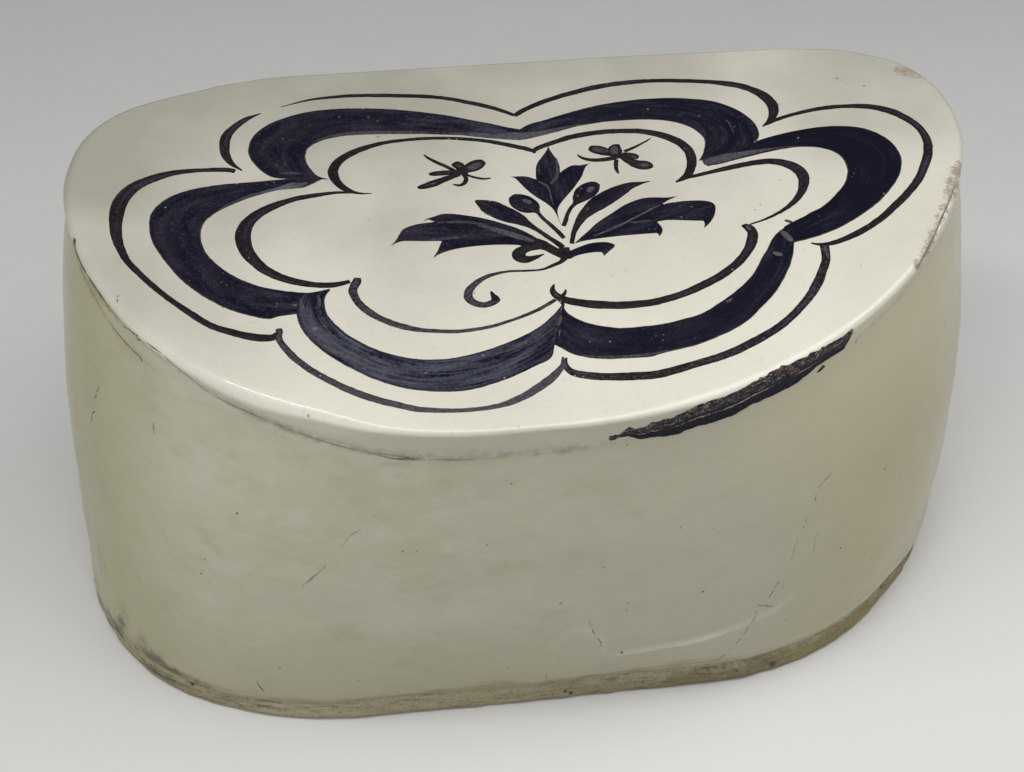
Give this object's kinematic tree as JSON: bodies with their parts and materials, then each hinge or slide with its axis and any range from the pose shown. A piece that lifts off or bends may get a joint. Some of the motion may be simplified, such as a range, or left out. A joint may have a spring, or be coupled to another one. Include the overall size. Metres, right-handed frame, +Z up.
{
  "type": "ceramic pillow",
  "caption": "Hollow slab-built stoneware headrest with a sloping D-shaped top, bulging walls and a brush-painted lobed panel.",
  "frame": {"origin": "middle of the plan, on the table under the base", "axes": "+X along the long side to the right, +Y to the straight back, +Z up"},
  "size_m": [0.3084, 0.1792, 0.1435],
  "materials": {
    "top_glaze": "ivory white slip under a clear satin-gloss glaze",
    "wall_glaze": "grey-beige slip under a clear glaze, with specks",
    "bare_clay": "unglazed buff stoneware, gritty",
    "dark_slip": "brush-painted iron-black slip under the glaze"
  },
  "bodies": {
    "root": {"headrest_slab": "top_glaze", "front_wall": "wall_glaze", "back_wall": "wall_glaze", "base_slab": "bare_clay", "headrest_coil": "bare_clay", "base_coil": "bare_clay", "left_seam_coil": "bare_clay", "right_seam_coil": "bare_clay", "outer_line": "dark_slip", "broad_band": "dark_slip", "inner_line": "dark_slip", "flower_spray": "dark_slip", "left_insect": "dark_slip", "right_insect": "dark_slip"}
  },
  "joints": []
}
